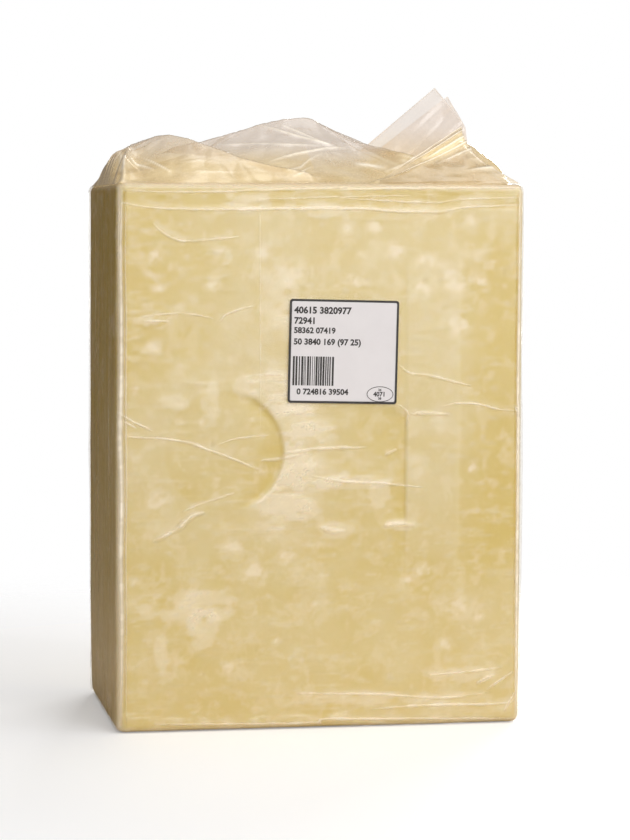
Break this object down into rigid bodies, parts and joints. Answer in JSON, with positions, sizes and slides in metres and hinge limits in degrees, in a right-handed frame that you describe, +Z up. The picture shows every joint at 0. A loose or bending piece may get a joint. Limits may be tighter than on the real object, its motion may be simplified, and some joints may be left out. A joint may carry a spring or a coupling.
{
  "type": "cheddar block",
  "caption": "Tall rounded block of pale cheddar in a clear vacuum bag, with gathered film standing on top and a plain label on the front.",
  "frame": {"origin": "centre of the bottom face, on the surface that the block stands on", "axes": "+Z up along the block's long side; the labelled face looks along -Y; +X is to the right as seen from the front"},
  "size_m": [0.28, 0.1803, 0.4375],
  "materials": {
    "cheese": "pale yellow mottled cheddar under tight clear film",
    "film": "clear glossy vacuum bag film, gathered and creased",
    "label_paper": "white paper with a thin black frame",
    "label_ink": "matt black print"
  },
  "bodies": {
    "root": {"cheese_block": "cheese", "bag": "film", "label": "label_paper"}
  },
  "joints": []
}
